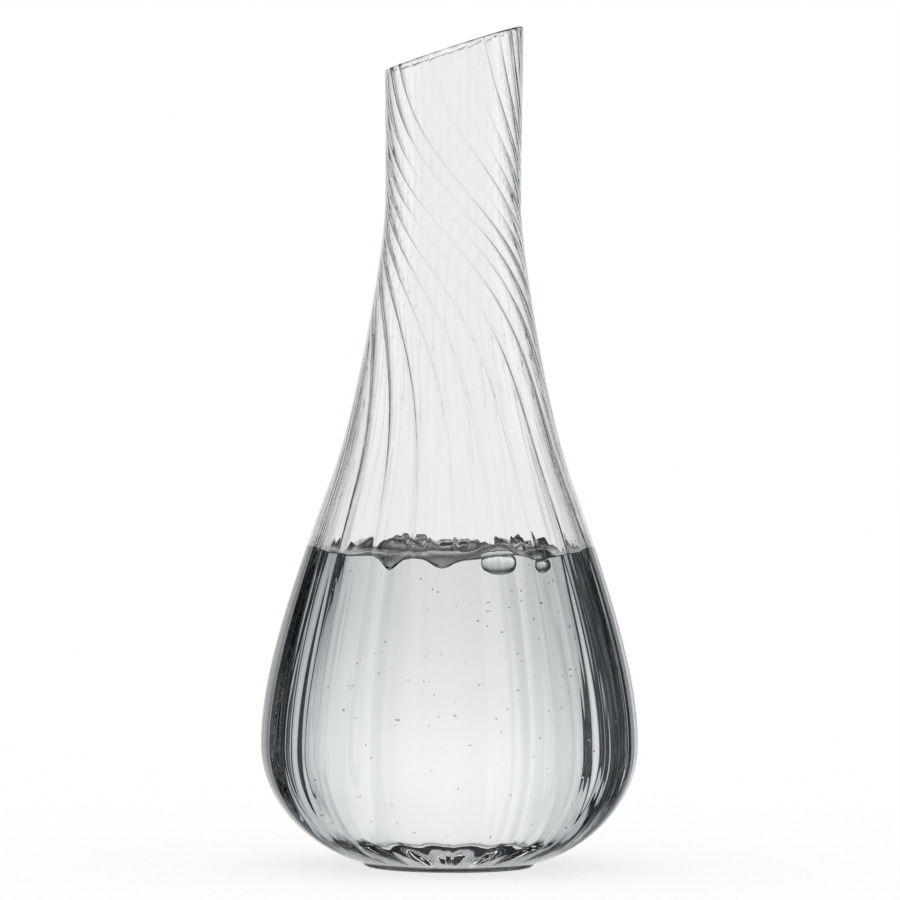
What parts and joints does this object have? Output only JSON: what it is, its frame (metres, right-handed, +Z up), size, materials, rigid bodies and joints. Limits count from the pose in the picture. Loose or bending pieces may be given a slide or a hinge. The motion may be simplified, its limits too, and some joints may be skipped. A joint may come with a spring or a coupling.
{
  "type": "water carafe",
  "caption": "Clear blown-glass water carafe with a drop-shaped body, a slender neck wound with optic ribs, a slanted pouring mouth and a small foot, half filled with water.",
  "frame": {"origin": "middle of the foot's underside, on the surface that the carafe stands on", "axes": "+Z up along the axis of the body; the high side of the slanted mouth is toward +X; the side that the picture shows faces -Y"},
  "size_m": [0.1304, 0.1304, 0.29],
  "materials": {
    "clear_glass": "polished",
    "water": "polished"
  },
  "bodies": {
    "root": {"glass_vessel": "clear_glass", "water": "water"}
  },
  "joints": []
}
